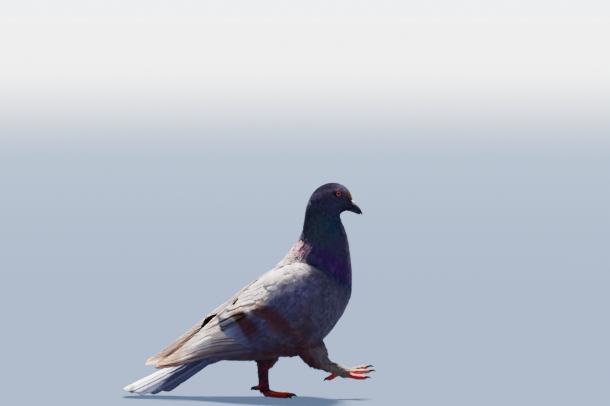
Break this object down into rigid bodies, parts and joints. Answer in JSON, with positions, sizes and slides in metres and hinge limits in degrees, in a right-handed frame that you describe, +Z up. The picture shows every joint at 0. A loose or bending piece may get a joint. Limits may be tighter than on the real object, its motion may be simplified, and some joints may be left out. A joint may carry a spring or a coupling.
{
  "type": "pigeon",
  "caption": "Life-size feral pigeon caught in mid-stride on one leg, wings folded, the other foot lifted forwards, head up: a still museum-style model.",
  "frame": {"origin": "on the sole of the standing left foot's ball, on the floor, under the body's mid-plane", "axes": "+X forwards (the way the bird walks), +Y the bird's left, +Z up; the body, head and tail are symmetric about XZ but the legs are in mid-stride"},
  "size_m": [0.2686, 0.0798, 0.2282],
  "materials": {
    "body_coat": "matte small body feathers, dark brownish grey below and grey-mauve on the back",
    "neck_coat": "silky feathers, dark slate head, glossy teal-green neck turning violet and magenta at its base",
    "wing_feathers": "matte pale lilac-grey coverts with two reddish-brown bars and cream-beige flight feathers",
    "tail_feathers": "matte pale lavender-white vanes with dark ragged tips on the middle pairs",
    "leg_coat": "short dark grey-brown feathers over the leg down to the toes",
    "toe_skin": "scaly bright red skin, slightly waxy",
    "claw": "horn, near black, semi-gloss",
    "bill": "horn, black, semi-gloss, finely worn",
    "cere": "chalky off-white bare skin",
    "eye": "wet glossy orange-red iris round a black pupil"
  },
  "bodies": {
    "root": {"torso": "body_coat", "neck": "neck_coat", "head": "neck_coat", "bill_upper": "bill", "bill_lower": "bill", "cere": "cere", "tail": "tail_feathers", "eye_left": "eye", "eye_right": "eye", "wing_left": "wing_feathers", "wing_right": "wing_feathers", "thigh_left": "leg_coat", "thigh_right": "leg_coat", "shank_left": "leg_coat", "shank_right": "leg_coat", "toe_middle_left": "toe_skin", "toe_inner_left": "toe_skin", "toe_outer_left": "toe_skin", "toe_hallux_left": "toe_skin", "toe_middle_right": "toe_skin", "toe_inner_right": "toe_skin", "toe_outer_right": "toe_skin", "toe_hallux_right": "toe_skin", "claw_middle_left": "claw", "claw_inner_left": "claw", "claw_outer_left": "claw", "claw_hallux_left": "claw", "claw_middle_right": "claw", "claw_inner_right": "claw", "claw_outer_right": "claw", "claw_hallux_right": "claw"}
  },
  "joints": []
}
